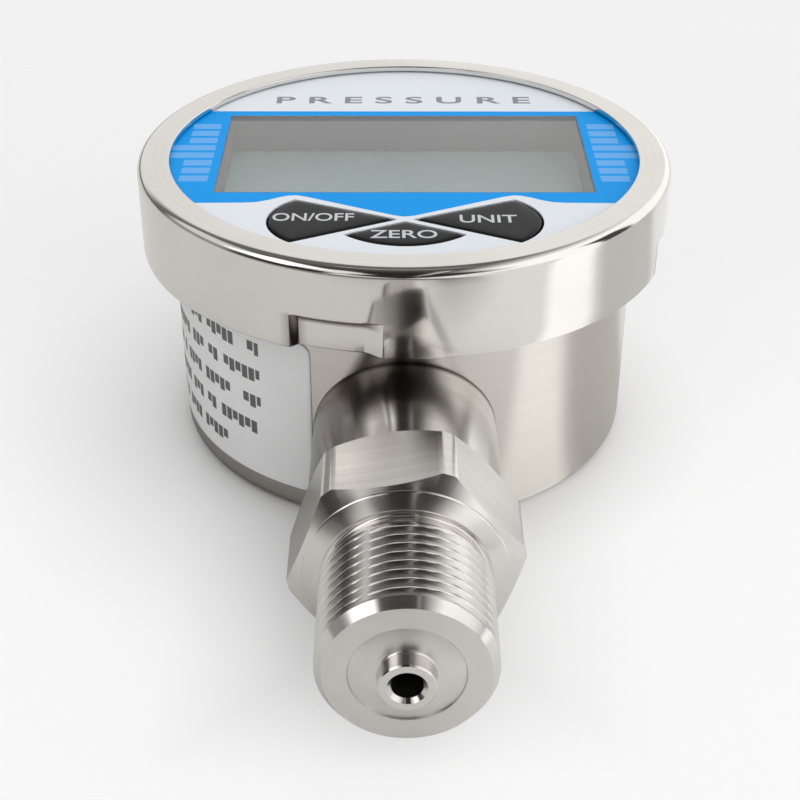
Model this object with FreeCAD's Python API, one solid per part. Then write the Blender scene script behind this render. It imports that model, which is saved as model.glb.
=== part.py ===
import FreeCAD, Part
import math
import os

# Digital pressure gauge, in millimetres and degrees. It lies on its back, as it is put down on a
# bench: +Z rises out of the dial, the pressure connection points along -Y, and the origin is the
# centre of the flat case back. Bearings are measured from the connection towards +X.

# Display module
view_width = 50.6
view_height = 26.8
view_rise = 1.0
view_depth = 6.2
glass_margin = 1.1
glass_thickness = 2.2
backlight_thickness = 2.5
strip_width = 2.0
strip_gap = 0.5
display_corner_gap = 0.7

# Drawn steel case with an outward flange
case_sheet = 1.0
case_back_round = 2.0
flange_reach = 3.0
flange_bend = 0.8

# Bayonet bezel ring, rolled from sheet, with lanced tabs pressed in under the case flange
bezel_sheet = 0.8
bezel_rim_round = 1.3
bezel_lip_width = 4.4
bezel_side_gap = 0.6
bezel_face_gap = 0.2
skirt_neck_gap = 3.1
lance_count = 4
lance_start_angle = -23.2
lance_entry_arc = 1.6
lance_flat_arc = 13.3
lance_exit_arc = 4.3
lance_push = 1.2
lance_height = 4.7
lance_play = 0.25
notch_side_gap = 1.5
notch_depth_gap = 0.3

# Front plate, overlay film and clear pane
gasket_thickness = 1.5
gasket_edge_gap = 0.2
plate_thickness = 3.5
plate_web = 2.0
plate_rim_width = 5.9
plate_side_gap = 0.5
well_wall = 1.0
spigot_wall = 1.2
spigot_depth = 2.1
spigot_arc = 60.0
spigot_gap = 0.2
overlay_thickness = 0.25
overlay_edge_gap = 0.2
pane_thickness = 1.0
pane_ledge = 0.7
pane_gap = 0.05

# Keys: two fans with their tips together, and a lens between them
key_row_drop = 8.15
fan_tip_gap = 1.35
fan_length = 13.0
fan_rise = 5.75
fan_drop = 6.35
fan_bulge = 3.1
key_web = 1.3
lens_half_width = 7.4
lens_belly = 3.0
key_corner_round = 0.35
key_edge_round = 0.2
key_thickness = 1.2
key_proud = 0.15
key_travel = 0.4
key_side_gap = 0.25
key_floor_gap = 0.15
key_post_radius = 1.8
fan_post_reach = 10.0
lens_post_drop = 3.6

# Switches under the keys
switch_width = 6.0
switch_height = 3.5
switch_well_depth = 2.2
plunger_radius = 1.6
plunger_height = 1.6
plunger_engagement = 1.2
plunger_gap = 0.15

# Main board
board_thickness = 1.6
boss_radius = 2.3
boss_gap = 1.3
boss_top_spread = 14.0
screw_shank_radius = 1.0
screw_grip = 5.0
screw_tip_gap = 0.5
screw_head_radius = 2.0
screw_head_height = 1.3
screw_hole_gap = 0.25
thread_gap = 0.05
chip_width = 10.0
chip_height = 1.4
chip_x = -11.0
chip_y = 8.0
socket_width = 6.0
socket_height = 4.0

# Turned process connector
thread_diameter = 20.0
thread_length = 13.7
end_chamfer_length = 1.22
end_chamfer_depth = 0.87
end_step_radius = 6.38
end_step_depth = 0.15
relief_depth = 0.55
relief_length = 1.9
relief_fillet = 0.35
collar_step = 2.0
collar_length = 1.15
collar_round = 0.95
hex_step = 0.5
hex_corner_step = 1.5
hex_length = 11.45
hex_front_chamfer_angle = 31.0
hex_rear_chamfer_angle = 42.0
hex_roll_angle = 10.0
hex_floor_gap = 0.05
neck_length = 15.75
neck_wall = 2.4
neck_intrusion = 4.3
nose_radius = 3.2
nose_length = 2.0
nose_chamfer = 0.4
port_radius = 1.75
port_countersink = 0.45
cavity_radius = 6.0
cavity_depth = 1.0
weld_gap = 0.03

# Pressure sensor
capsule_diameter = 19.0
capsule_length = 5.0
capsule_gap = 0.1
capsule_boss_radius = 5.5
capsule_boss_length = 1.5
o_ring_section = 1.6
o_ring_inset = 1.9
lock_ring_length = 3.5
lock_ring_inset = 1.0
lock_ring_bore_gap = 0.4
spanner_hole_radius = 0.8
lead_radius = 1.1
lead_bend = 5.0
lead_run = 10.0

# Battery
cell_diameter = 14.5
cell_length = 25.2
cell_gap = 0.2
cell_y = 6.0
holder_wall = 1.4
holder_rise = 3.0
pad_thickness = 1.0
contact_thickness = 0.4
contact_width = 7.0
wire_radius = 0.6
wire_bend = 3.0
wire_run = 4.0
wire_drop = 4.0

# Paper label on the case wall
label_thickness = 0.12
label_start_angle = -110.0
label_end_angle = -22.0
label_low = 3.8
label_height = 22.8
label_round = 1.6

# Radii that follow from the display, and from the sensor and thread
glass_half_width = view_width / 2 + glass_margin
glass_top_y = view_rise + view_height / 2 + glass_margin
glass_low_y = view_rise - view_height / 2 - glass_margin
case_inner_r = math.hypot(glass_half_width, glass_top_y) + display_corner_gap
case_r = case_inner_r + case_sheet
flange_r = case_r + flange_reach
skirt_in = flange_r + bezel_side_gap
skirt_out = skirt_in + bezel_sheet
lip_r = skirt_out - bezel_lip_width
plate_r = skirt_in - plate_side_gap
board_r = case_inner_r - display_corner_gap
capsule_r = capsule_diameter / 2
bore_r = capsule_r + capsule_gap
neck_r = bore_r + neck_wall
thread_r = thread_diameter / 2
collar_r = thread_r + collar_step
hex_half = max(neck_r, collar_r) + hex_step
bar_r = hex_half + hex_corner_step

# Height of the connector axis: the hexagon's lowest corner just clears the bench
strip_half = 30.0 - math.degrees(math.acos(hex_half / bar_r))
lowest_corner = 30.0 - hex_roll_angle - strip_half
stem_z = bar_r * math.cos(math.radians(lowest_corner)) + hex_floor_gap

# Heights, from the connector's neck up through the bezel
skirt_low = stem_z + neck_r + skirt_neck_gap
slit_z = skirt_low + lance_height
flange_low = slit_z + lance_play
flange_top = flange_low + case_sheet
plate_low = flange_top + gasket_thickness
plate_top = plate_low + plate_thickness
web_low = plate_top - plate_web
overlay_top = plate_top + overlay_thickness
lip_low = overlay_top + bezel_face_gap
bezel_top = lip_low + bezel_sheet
glass_top = plate_top - view_depth
backlight_top = glass_top - glass_thickness
board_top = backlight_top - backlight_thickness
board_low = board_top - board_thickness
switch_top = board_top + switch_height
plunger_top = switch_top + plunger_height
key_top = overlay_top + key_proud
key_low = key_top - key_thickness
pocket_low = key_low - key_travel - key_floor_gap

# Stations along the connector, counted outwards from the case axis
neck_in = case_inner_r - neck_intrusion
hex_rear = case_r + neck_length
hex_front = hex_rear + hex_length
collar_face = hex_front + collar_length
thread_start = collar_face + relief_length
thread_end = thread_start + thread_length
nose_end = thread_end + nose_length
capsule_rear = neck_in + lock_ring_inset + lock_ring_length
capsule_seat = capsule_rear + capsule_length

# Bayonet angles
lance_span = lance_entry_arc + lance_flat_arc + lance_exit_arc
lance_pitch = 360.0 / lance_count
bayonet_twist = lance_span + 2 * notch_side_gap

# Battery and sensor lead places
pad_top = case_sheet + pad_thickness
holder_floor = pad_top + holder_wall
cell_axis_z = holder_floor + cell_diameter / 2
holder_rim = cell_axis_z + holder_rise
holder_half = cell_length / 2 + contact_thickness + holder_wall
capsule_boss_rear = capsule_rear - capsule_boss_length
lead_column = capsule_boss_rear - lead_run
socket_low = board_low - socket_height

# Key places on the dial
fan_tip_y = view_rise - view_height / 2 - key_row_drop
fan_slope = math.atan2(fan_drop, fan_length)
lens_apex_y = fan_tip_y + fan_tip_gap * math.tan(fan_slope) - key_web / math.cos(fan_slope)
fan_post_x = fan_tip_gap + fan_post_reach
lens_post_y = lens_apex_y - lens_post_drop

# Board fastening places, clear of the display and of the keys
boss_top_y = glass_top_y + boss_radius + boss_gap
boss_low_y = glass_low_y - boss_radius - boss_gap
boss_low_x = fan_tip_gap + fan_length + fan_bulge + boss_radius + boss_gap
boss_places = [
    (-boss_top_spread, boss_top_y),
    (boss_top_spread, boss_top_y),
    (-boss_low_x, boss_low_y),
    (boss_low_x, boss_low_y),
]
switch_places = {
    "on_off": (-fan_post_x, fan_tip_y),
    "zero": (0.0, lens_post_y),
    "unit": (fan_post_x, fan_tip_y),
}

UP = FreeCAD.Vector(0, 0, 1)
ORIGIN = FreeCAD.Vector(0, 0, 0)
TOLERANCE = 1e-6


def turned(r, z):
    """A point of a turning profile: radius and height."""
    return FreeCAD.Vector(r, 0, z)


def round_corner(r, z, radius, middle, end):
    """The middle and end of a profile's arc, from its centre, its radius and two bearings."""
    return tuple(
        turned(r + radius * math.cos(math.radians(a)), z + radius * math.sin(math.radians(a)))
        for a in (middle, end)
    )


def outline(points):
    """A closed wire of straight runs. A pair of points is an arc: through the first to the second."""
    edges = []
    here = points[0]
    for step in points[1:] + points[:1]:
        if isinstance(step, tuple):
            there = step[1]
            edges.append(Part.Arc(here, step[0], there).toShape())
        else:
            there = step
            edges.append(Part.LineSegment(here, there).toShape())
        here = there
    return Part.Wire(edges)


def revolved(points):
    """A turned solid: the profile swept once round the Z axis."""
    return Part.Face(outline(points)).revolve(ORIGIN, UP, 360)


def cylinder(radius, low, high, x=0.0, y=0.0):
    return Part.makeCylinder(radius, high - low, FreeCAD.Vector(x, y, low))


def ring(inner, outer, low, high):
    return cylinder(outer, low, high).cut(cylinder(inner, low, high))


def ring_sector(inner, outer, low, high, start, span):
    """A stretch of a ring, from a bearing and over a span."""
    sector = Part.makeCylinder(outer, high - low, turned(0, low), UP, span)
    sector = sector.cut(Part.makeCylinder(inner, high - low, turned(0, low), UP, span))
    sector.rotate(ORIGIN, UP, start - 90)
    return sector


def block(width, depth, low, high, x=0.0, y=0.0):
    """A box centred on a place in plan, between two heights."""
    return Part.makeBox(width, depth, high - low, FreeCAD.Vector(x - width / 2, y - depth / 2, low))


def view_block(margin, low, high):
    """A box over the display's view, larger by a margin on every side."""
    return block(view_width + 2 * margin, view_height + 2 * margin, low, high, y=view_rise)


def raised(wire, low, high):
    """A flat outline drawn at zero height, made a solid between two heights."""
    solid = Part.Face(wire).extrude(UP * (high - low))
    solid.translate(UP * low)
    return solid


def onto_stem(shape):
    """Lays a piece turned about Z along the connector axis, its +Z pointing outwards."""
    shape.rotate(ORIGIN, FreeCAD.Vector(1, 0, 0), 90)
    shape.translate(UP * stem_z)
    return shape


def piped(corners, bends, radius):
    """A round lead along straight runs joined by tangent arcs at the inner corners."""
    edges = []
    here = corners[0]
    for before, corner, after, bend in zip(corners, corners[1:], corners[2:], bends):
        back = (before - corner).normalize()
        ahead = (after - corner).normalize()
        turn = math.pi - back.getAngle(ahead)
        reach = bend * math.tan(turn / 2)
        inwards = (back + ahead).normalize()
        middle = corner + inwards * (bend / math.cos(turn / 2) - bend)
        edges.append(Part.LineSegment(here, corner + back * reach).toShape())
        edges.append(Part.Arc(corner + back * reach, middle, corner + ahead * reach).toShape())
        here = corner + ahead * reach
    edges.append(Part.LineSegment(here, corners[-1]).toShape())
    section = Part.Wire(Part.makeCircle(radius, corners[0], corners[1] - corners[0]))
    return Part.Wire(edges).makePipeShell([section], True, False)


def on_circle(radius, bearing):
    """A point in plan at a radius and a bearing from the connector."""
    a = math.radians(bearing - 90)
    return FreeCAD.Vector(radius * math.cos(a), radius * math.sin(a), 0)


def case_body():
    """Drawn cup with a rounded back edge and a notched flange, pierced for the connector."""
    back = (case_r - case_back_round, case_back_round)
    bend = (case_r + flange_bend, flange_low - flange_bend)
    cup = revolved([
        turned(0, 0),
        turned(back[0], 0),
        round_corner(*back, case_back_round, -45, 0),
        turned(case_r, bend[1]),
        round_corner(*bend, flange_bend, 135, 90),
        turned(flange_r, flange_low),
        turned(flange_r, flange_top),
        turned(bend[0], flange_top),
        round_corner(*bend, flange_bend + case_sheet, 135, 180),
        turned(case_inner_r, back[1]),
        round_corner(*back, case_back_round - case_sheet, -45, -90),
        turned(0, case_sheet),
    ])
    lance_in = skirt_in - lance_push
    for k in range(lance_count):
        start = lance_start_angle + bayonet_twist - notch_side_gap + k * lance_pitch
        notch = ring_sector(lance_in - notch_depth_gap, flange_r + flange_reach, flange_low, flange_top,
                            start, lance_span + 2 * notch_side_gap)
        cup = cup.cut(notch)
    return cup.cut(onto_stem(cylinder(neck_r + weld_gap, neck_in, hex_rear)))


def lanced_outline(radius):
    """Plan of the skirt's lower band at a radius: arcs that step in at each lance, with ramps."""
    pressed = radius - lance_push
    points = []
    for k in range(lance_count):
        entry = lance_start_angle + k * lance_pitch
        flat = entry + lance_entry_arc
        ramp = flat + lance_flat_arc
        end = ramp + lance_exit_arc
        next_entry = entry + lance_pitch
        points.append(on_circle(pressed, flat))
        points.append((on_circle(pressed, (flat + ramp) / 2), on_circle(pressed, ramp)))
        points.append(on_circle(radius, end))
        points.append((on_circle(radius, (end + next_entry) / 2), on_circle(radius, next_entry)))
    return outline(points)


def bezel_ring():
    """Rolled ring with a flat lip, a round rim and a skirt whose lances are pressed inwards."""
    rim = (skirt_out - bezel_rim_round, bezel_top - bezel_rim_round)
    hoop = revolved([
        turned(skirt_in, slit_z),
        turned(skirt_out, slit_z),
        turned(skirt_out, rim[1]),
        round_corner(*rim, bezel_rim_round, 45, 90),
        turned(lip_r, bezel_top),
        turned(lip_r, lip_low),
        turned(rim[0], lip_low),
        round_corner(*rim, bezel_rim_round - bezel_sheet, 45, 0),
    ])
    band = raised(lanced_outline(skirt_out), skirt_low, slit_z)
    band = band.cut(raised(lanced_outline(skirt_in), skirt_low, slit_z))
    return hoop.fuse(band).removeSplitter()


def process_connector():
    """One turned bar: neck, milled hexagon, rounded collar, thread blank, nose and bores."""
    rear_rise = (bar_r - neck_r) * math.tan(math.radians(hex_rear_chamfer_angle))
    front_fall = (bar_r - collar_r) * math.tan(math.radians(hex_front_chamfer_angle))
    blank = revolved([
        turned(0, hex_rear),
        turned(neck_r, hex_rear),
        turned(bar_r, hex_rear + rear_rise),
        turned(bar_r, hex_front - front_fall),
        turned(collar_r, hex_front),
        turned(0, hex_front),
    ])
    corner_r = hex_half / math.cos(math.radians(30))
    corners = [on_circle(corner_r, 90 + hex_roll_angle + 60 * k) for k in range(6)]
    hexagon = blank.common(raised(outline(corners), hex_rear, hex_front))
    relief_r = thread_r - relief_depth
    spindle = revolved([
        turned(0, neck_in),
        turned(neck_r, neck_in),
        turned(neck_r, hex_rear),
        turned(collar_r, hex_front),
        turned(collar_r, collar_face - collar_round),
        round_corner(collar_r - collar_round, collar_face - collar_round, collar_round, 45, 90),
        turned(relief_r + relief_fillet, collar_face),
        round_corner(relief_r + relief_fillet, collar_face + relief_fillet, relief_fillet, -135, 180),
        turned(relief_r, thread_start - relief_depth),
        turned(thread_r, thread_start),
        turned(thread_r, thread_end - end_chamfer_length),
        turned(thread_r - end_chamfer_depth, thread_end),
        turned(end_step_radius, thread_end),
        turned(end_step_radius, thread_end - end_step_depth),
        turned(nose_radius, thread_end - end_step_depth),
        turned(nose_radius, nose_end - nose_chamfer),
        turned(nose_radius - nose_chamfer, nose_end),
        turned(0, nose_end),
    ])
    sink_r = port_radius + port_countersink
    seal_mid = capsule_r - o_ring_inset
    bores = [
        cylinder(bore_r, neck_in, capsule_seat),
        cylinder(cavity_radius, capsule_seat, capsule_seat + cavity_depth),
        cylinder(port_radius, capsule_seat, nose_end),
        Part.makeCone(port_radius, sink_r, port_countersink, turned(0, nose_end - port_countersink)),
        ring(seal_mid - o_ring_section / 2, seal_mid + o_ring_section / 2,
             capsule_seat, capsule_seat + o_ring_section),
    ]
    return onto_stem(spindle.fuse(hexagon).cut(bores).removeSplitter())


def face_gasket():
    """Flat rubber ring on the flange, under the front plate."""
    return ring(case_r + flange_bend, flange_r - gasket_edge_gap, flange_top, plate_low)


def fan_outline(side):
    """A fan key's outline: a sharp tip, two straight flanks and a bowed outer end."""
    tip = FreeCAD.Vector(side * fan_tip_gap, fan_tip_y, 0)
    corner_x = side * (fan_tip_gap + fan_length)
    top = FreeCAD.Vector(corner_x, fan_tip_y + fan_rise, 0)
    low = FreeCAD.Vector(corner_x, fan_tip_y - fan_drop, 0)
    bow = FreeCAD.Vector(corner_x + side * fan_bulge, fan_tip_y + (fan_rise - fan_drop) / 2, 0)
    return outline([tip, top, (bow, low)])


def lens_outline():
    """The middle key's outline: flanks parallel to the fans, and a round belly."""
    shoulder_y = lens_apex_y - lens_half_width * math.tan(fan_slope)
    apex = FreeCAD.Vector(0, lens_apex_y, 0)
    left = FreeCAD.Vector(-lens_half_width, shoulder_y, 0)
    right = FreeCAD.Vector(lens_half_width, shoulder_y, 0)
    belly = FreeCAD.Vector(0, shoulder_y - lens_belly, 0)
    return outline([apex, left, (belly, right)])


def key_outline(key):
    return {"on_off": fan_outline(-1), "zero": lens_outline(), "unit": fan_outline(1)}[key]


def key_clearance(key, low, high):
    """The room that a key needs: its outline grown by the side gap."""
    grown = Part.Face(key_outline(key)).makeOffset2D(key_side_gap)
    return raised(grown.OuterWire, low, high)


def front_plate():
    """Moulded plate: rim on the gasket, display well, key pockets, board bosses and spigots."""
    rim_in = plate_r - plate_rim_width
    spigot_r = case_inner_r - spigot_gap
    plate = revolved([
        turned(0, web_low),
        turned(rim_in, web_low),
        turned(rim_in, plate_low),
        turned(plate_r, plate_low),
        turned(plate_r, plate_top),
        turned(0, plate_top),
    ])
    spigots = [
        ring_sector(spigot_r - spigot_wall, spigot_r, plate_low - spigot_depth, plate_low,
                    bearing - spigot_arc / 2, spigot_arc)
        for bearing in (0, 180)
    ]
    bosses = [cylinder(boss_radius, board_top, web_low, x, y) for x, y in boss_places]
    plate = plate.fuse([view_block(well_wall, glass_top, web_low)] + spigots + bosses)
    cuts = [
        view_block(0, glass_top, plate_top),
        view_block(pane_ledge + pane_gap, plate_top - pane_thickness, plate_top),
    ]
    for key, (x, y) in switch_places.items():
        cuts.append(key_clearance(key, pocket_low, plate_top))
        cuts.append(cylinder(key_post_radius + key_side_gap, web_low, pocket_low, x, y))
    for x, y in boss_places:
        grip_top = board_top + screw_grip + screw_tip_gap
        cuts.append(cylinder(screw_shank_radius + thread_gap, board_top, grip_top, x, y))
    return plate.cut(cuts).removeSplitter()


def overlay_film():
    """Printed film on the front plate, cut out at the window and the keys."""
    film = cylinder(plate_r - overlay_edge_gap, plate_top, overlay_top)
    cuts = [view_block(0, plate_top, overlay_top)]
    cuts += [key_clearance(key, plate_top, overlay_top) for key in switch_places]
    return film.cut(cuts)


def display_window():
    """Clear pane in the plate's rebate, its raised middle flush with the film."""
    pane = view_block(pane_ledge, plate_top - pane_thickness, plate_top)
    return pane.fuse(view_block(-pane_gap, plate_top, overlay_top)).removeSplitter()


def key_cap(key):
    """A key with softened edges, on a post that reaches its switch."""
    cap = raised(key_outline(key), key_low, key_top)
    upright = [e for e in cap.Edges if abs(e.BoundBox.ZLength - key_thickness) < TOLERANCE]
    cap = cap.makeFillet(key_corner_round, upright)
    rim = [e for e in cap.Edges if e.BoundBox.ZMin > key_top - TOLERANCE]
    cap = cap.makeFillet(key_edge_round, rim)
    x, y = switch_places[key]
    return cap.fuse(cylinder(key_post_radius, plunger_top, key_low, x, y)).removeSplitter()


def key_switches():
    """Three push switches on the board, each with a well for its plunger."""
    switches = []
    for x, y in switch_places.values():
        body = block(switch_width, switch_width, board_top, switch_top, x, y)
        well = cylinder(plunger_radius + plunger_gap, switch_top - switch_well_depth, switch_top, x, y)
        switches.append(body.cut(well))
    return Part.makeCompound(switches)


def switch_plunger(key):
    """A switch's plunger, which goes down with its key."""
    return cylinder(plunger_radius, switch_top - plunger_engagement, plunger_top, *switch_places[key])


def lcd_glass():
    """The display cell, under the plate's well."""
    return view_block(glass_margin, backlight_top, glass_top)


def elastomer_strips():
    """Two contact strips between the board and the glass, along its long edges."""
    low = glass_low_y + strip_width / 2
    high = glass_top_y - strip_width / 2
    return Part.makeCompound([
        block(view_width, strip_width, board_top, backlight_top, y=y) for y in (low, high)
    ])


def backlight_panel():
    """The light guide between the contact strips."""
    depth = glass_top_y - glass_low_y - 2 * (strip_width + strip_gap)
    return block(view_width, depth, board_top, backlight_top, y=view_rise)


def main_board():
    """Round board on the plate's bosses."""
    board = cylinder(board_r, board_low, board_top)
    hole_r = screw_shank_radius + screw_hole_gap
    return board.cut([cylinder(hole_r, board_low, board_top, x, y) for x, y in boss_places])


def board_screws():
    """Pan-head screws from under the board into the bosses."""
    screws = []
    for x, y in boss_places:
        head = cylinder(screw_head_radius, board_low - screw_head_height, board_low, x, y)
        shank = cylinder(screw_shank_radius, board_low, board_top + screw_grip, x, y)
        screws.append(head.fuse(shank).removeSplitter())
    return Part.makeCompound(screws)


def controller_chip():
    """The controller, under the board."""
    return block(chip_width, chip_width, board_low - chip_height, board_low, chip_x, chip_y)


def sensor_socket():
    """The sensor lead's socket, under the board."""
    return block(socket_width, socket_width, socket_low, board_low, y=-lead_column)


def sensor_lead():
    """Sheathed lead from the capsule's boss up to its socket."""
    start = FreeCAD.Vector(0, -capsule_boss_rear, stem_z)
    corner = FreeCAD.Vector(0, -lead_column, stem_z)
    end = FreeCAD.Vector(0, -lead_column, socket_low)
    return piped([start, corner, end], [lead_bend], lead_radius)


def sensor_capsule():
    """Oil-filled sensor: a disc against the seal, with a lead boss behind."""
    return onto_stem(revolved([
        turned(0, capsule_boss_rear),
        turned(capsule_boss_radius, capsule_boss_rear),
        turned(capsule_boss_radius, capsule_rear),
        turned(capsule_r, capsule_rear),
        turned(capsule_r, capsule_seat),
        turned(0, capsule_seat),
    ]))


def sensor_o_ring():
    """Face seal in the connector's groove, in front of the capsule."""
    middle = turned(0, capsule_seat + o_ring_section / 2)
    return onto_stem(Part.makeTorus(capsule_r - o_ring_inset, o_ring_section / 2, middle, UP))


def sensor_lock_ring():
    """Ring behind the capsule, with two holes for a pin spanner."""
    inner = capsule_boss_radius + lock_ring_bore_gap
    low = capsule_rear - lock_ring_length
    body = ring(inner, capsule_r, low, capsule_rear)
    place = (inner + capsule_r) / 2
    holes = [cylinder(spanner_hole_radius, low, capsule_rear, x) for x in (-place, place)]
    return onto_stem(body.cut(holes))


def battery_cell():
    """One lithium cell, lying across the case."""
    end = FreeCAD.Vector(-cell_length / 2, cell_y, cell_axis_z)
    return Part.makeCylinder(cell_diameter / 2, cell_length, end, FreeCAD.Vector(1, 0, 0))


def battery_holder():
    """Open cradle that clasps the cell's sides."""
    room_width = cell_diameter + 2 * cell_gap
    room_length = 2 * (holder_half - holder_wall)
    tray = block(2 * holder_half, room_width + 2 * holder_wall, pad_top, holder_rim, y=cell_y)
    return tray.cut(block(room_length, room_width, holder_floor, holder_rim, y=cell_y))


def battery_pad():
    """Foam pad that sticks the holder to the case back."""
    return block(2 * holder_half, cell_diameter, case_sheet, pad_top, y=cell_y)


def battery_contacts():
    """Two spring plates between the cell's ends and the holder."""
    x = holder_half - holder_wall - contact_thickness / 2
    return Part.makeCompound([
        block(contact_thickness, contact_width, holder_floor, holder_rim, side * x, cell_y)
        for side in (-1, 1)
    ])


def battery_leads():
    """Two wires from the holder's ends up to the board."""
    leads = []
    for side in (-1, 1):
        start = FreeCAD.Vector(side * holder_half, cell_y, holder_rim - wire_drop)
        corner = start + FreeCAD.Vector(side * wire_run, 0, 0)
        end = FreeCAD.Vector(corner.x, cell_y, board_low)
        leads.append(piped([start, corner, end], [wire_bend], wire_radius))
    return Part.makeCompound(leads)


def side_label():
    """Paper label stuck round the case wall, with rounded corners."""
    high = label_low + label_height
    span = label_end_angle - label_start_angle
    label = ring_sector(case_r, case_r + label_thickness, label_low, high, label_start_angle, span)
    corners = [e for e in label.Edges if abs(e.Length - label_thickness) < TOLERANCE]
    return label.makeFillet(label_round, corners)


nodes = {
    "case_body": case_body(),
    "bezel_ring": bezel_ring(),
    "process_connector": process_connector(),
    "face_gasket": face_gasket(),
    "front_plate": front_plate(),
    "overlay_film": overlay_film(),
    "display_window": display_window(),
    "key_switches": key_switches(),
    "lcd_glass": lcd_glass(),
    "elastomer_strips": elastomer_strips(),
    "backlight_panel": backlight_panel(),
    "main_board": main_board(),
    "board_screws": board_screws(),
    "controller_chip": controller_chip(),
    "sensor_socket": sensor_socket(),
    "sensor_lead": sensor_lead(),
    "sensor_capsule": sensor_capsule(),
    "sensor_o_ring": sensor_o_ring(),
    "sensor_lock_ring": sensor_lock_ring(),
    "battery_cell": battery_cell(),
    "battery_holder": battery_holder(),
    "battery_pad": battery_pad(),
    "battery_contacts": battery_contacts(),
    "battery_leads": battery_leads(),
    "side_label": side_label(),
}
for key in switch_places:
    nodes[f"{key}_key"] = key_cap(key)
    nodes[f"{key}_plunger"] = switch_plunger(key)

os.makedirs("parts", exist_ok=True)
for name, shape in nodes.items():
    shape.exportStep(f"parts/{name}.step")
    print(f"{name}: {len(shape.Solids)} solids, {shape.Volume / 1000:.3f} cm3, valid {shape.isValid()}")
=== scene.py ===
import math
import bmesh
import bpy
import numpy as np
from mathutils import Matrix


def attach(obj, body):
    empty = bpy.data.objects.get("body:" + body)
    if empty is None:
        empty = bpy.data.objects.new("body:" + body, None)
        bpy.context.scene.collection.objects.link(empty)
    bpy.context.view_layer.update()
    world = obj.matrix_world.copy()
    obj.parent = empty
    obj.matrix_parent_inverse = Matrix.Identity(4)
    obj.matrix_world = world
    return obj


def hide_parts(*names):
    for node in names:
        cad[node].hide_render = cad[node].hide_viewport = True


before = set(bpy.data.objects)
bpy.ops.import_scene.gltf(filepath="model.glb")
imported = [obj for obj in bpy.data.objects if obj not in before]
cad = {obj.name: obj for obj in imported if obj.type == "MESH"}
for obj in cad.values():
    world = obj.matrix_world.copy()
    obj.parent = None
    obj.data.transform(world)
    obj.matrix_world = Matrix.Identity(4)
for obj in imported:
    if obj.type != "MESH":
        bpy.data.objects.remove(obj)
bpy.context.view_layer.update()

# Case: a deep-drawn cup of stainless sheet with an outward flange, pierced for the connector.
# Its wall and back are satin-ground after drawing, so long soft streaks run round the wall, and
# handling leaves faint smears on them.


def place(tree, kind, values=None, links=None, **settings):
    """Adds a node: its settings, its fixed socket values and the outputs linked into it."""
    made = tree.nodes.new(kind)
    for key, value in settings.items():
        setattr(made, key, value)
    for key, value in (values or {}).items():
        made.inputs[key].default_value = value
    for key, output in (links or {}).items():
        tree.links.new(output, made.inputs[key])
    return made


def sum_of(tree, operation, a, b, c=None):
    """One Math node over two or three numbers or outputs."""
    made = tree.nodes.new("ShaderNodeMath")
    made.operation = operation
    for socket, value in zip(made.inputs, (a, b, c)):
        if isinstance(value, bpy.types.NodeSocket):
            tree.links.new(value, socket)
        elif value is not None:
            socket.default_value = value
    return made.outputs["Value"]


def new_group(name, inputs, outputs):
    """A shader node group with named float or vector inputs and float outputs, and its two ends."""
    tree = bpy.data.node_groups.new(name, "ShaderNodeTree")
    for label, kind in inputs:
        tree.interface.new_socket(label, in_out="INPUT", socket_type=kind)
    for label in outputs:
        tree.interface.new_socket(label, in_out="OUTPUT", socket_type="NodeSocketFloat")
    return tree, tree.nodes.new("NodeGroupInput").outputs, tree.nodes.new("NodeGroupOutput").inputs


def new_finish(name):
    """A new material with its tree, its Principled shader and its Object coordinates."""
    material = bpy.data.materials.new(name)
    material.use_nodes = True
    tree = material.node_tree
    coordinates = place(tree, "ShaderNodeTexCoord").outputs["Object"]
    return material, tree, tree.nodes["Principled BSDF"], coordinates


def set_values(shader, **values):
    """Writes fixed values on the shader's own sockets; an underscore stands for a space."""
    for key, value in values.items():
        shader.inputs[key.replace("_", " ")].default_value = value


def feed(tree, shader, **outputs):
    """Links outputs to the shader's own sockets; an underscore stands for a space."""
    for key, output in outputs.items():
        tree.links.new(output, shader.inputs[key.replace("_", " ")])


def group_in(tree, group, values, links):
    """Places a node group in a material with its own values and links."""
    return place(tree, "ShaderNodeGroup", values, links, node_tree=group).outputs


def spread(tree, value, low, high, start=0.0, stop=1.0):
    """Maps an output from start..stop to low..high, held at both ends."""
    made = place(tree, "ShaderNodeMapRange",
                 {"From Min": start, "From Max": stop, "To Min": low, "To Max": high}, {"Value": value})
    return made.outputs["Result"]


def tinted(tree, mask, dark, light):
    """A colour that runs with a mask from dark, where it is 0, to light; each a colour or an output."""
    made = place(tree, "ShaderNodeMix", data_type="RGBA")
    tree.links.new(mask, made.inputs[0])
    for socket, colour in zip(made.inputs[6:8], (dark, light)):
        if isinstance(colour, tuple):
            socket.default_value = (*colour, 1.0)
        else:
            tree.links.new(colour, socket)
    return made.outputs[2]


def bumped(tree, shader, height, distance, strength=1.0):
    """Sends a height through a Bump node to the shader's normal."""
    made = place(tree, "ShaderNodeBump", {"Strength": strength, "Distance": distance}, {"Height": height})
    feed(tree, shader, Normal=made.outputs["Normal"])


# Hand smears: soft cloudy patches, 0 where clean and 1 where a thumb has been
smears, smears_in, smears_out = new_group(
    "hand_smears", [("Vector", "NodeSocketVector"), ("Scale", "NodeSocketFloat")], ["Mask"])
cloud = place(smears, "ShaderNodeTexNoise", {"Detail": 5.0, "Roughness": 0.62, "Distortion": 0.6},
              {"Vector": smears_in["Vector"], "Scale": smears_in["Scale"]})
smears.links.new(spread(smears, cloud.outputs["Fac"], 0.0, 1.0, 0.42, 0.72), smears_out["Mask"])

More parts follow.
